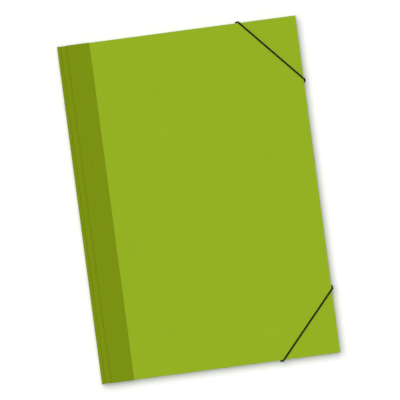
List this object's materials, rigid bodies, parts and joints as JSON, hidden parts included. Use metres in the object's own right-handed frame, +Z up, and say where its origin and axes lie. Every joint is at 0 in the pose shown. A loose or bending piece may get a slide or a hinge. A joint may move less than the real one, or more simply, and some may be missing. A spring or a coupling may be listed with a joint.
{
  "type": "art portfolio",
  "caption": "Flat A3 art portfolio: paper-covered boards, cloth spine with creased joints, inner card flaps, elastic cords over the fore-edge corners.",
  "frame": {"origin": "middle of the closed portfolio's footprint, elastic cords included, on the surface that it lies on", "axes": "+X from the spine to the fore edge, +Y to the head, +Z up out of the front cover"},
  "size_m": [0.3129, 0.4438, 0.0164],
  "materials": {
    "cover_paper": "matt lime covering paper on greyboard",
    "greyboard": "raw greyboard",
    "spine_cloth": "olive green book cloth, fine weave",
    "lining_cloth": "olive green lining cloth",
    "flap_card": "matt lime card",
    "nickel": "nickel-plated steel",
    "elastic": "black braided elastic cord"
  },
  "bodies": {
    "back_cover": {"back_cover": "cover_paper", "spine_cloth_back": "spine_cloth", "spine_lining_back": "lining_cloth", "head_flap": "flap_card", "tail_flap": "flap_card", "fore_edge_flap": "flap_card", "eyelet_head_end": "nickel", "eyelet_head_fore": "nickel", "eyelet_tail_end": "nickel", "eyelet_tail_fore": "nickel", "barb_head_end": "nickel", "barb_head_fore": "nickel", "barb_tail_end": "nickel", "barb_tail_fore": "nickel", "elastic_head": "elastic", "elastic_tail": "elastic"},
    "spine": {"spine_board": "greyboard", "spine_cloth_middle": "spine_cloth", "spine_lining_middle": "lining_cloth"},
    "front_cover": {"front_cover": "cover_paper", "spine_cloth_front": "spine_cloth", "spine_lining_front": "lining_cloth"}
  },
  "joints": [
    {"name": "spine_fold", "type": "hinge", "parent": "back_cover", "child": "spine", "pos_m": [-0.15645, 0, 0.0018], "axis": [0, -1, 0], "range_deg": [0, 90], "deforming": ["elastic_head", "elastic_tail"]},
    {"name": "cover_fold", "type": "hinge", "parent": "spine", "child": "front_cover", "pos_m": [-0.15645, 0, 0.015], "axis": [0, -1, 0], "range_deg": [0, 90], "deforming": ["elastic_head", "elastic_tail"]}
  ]
}
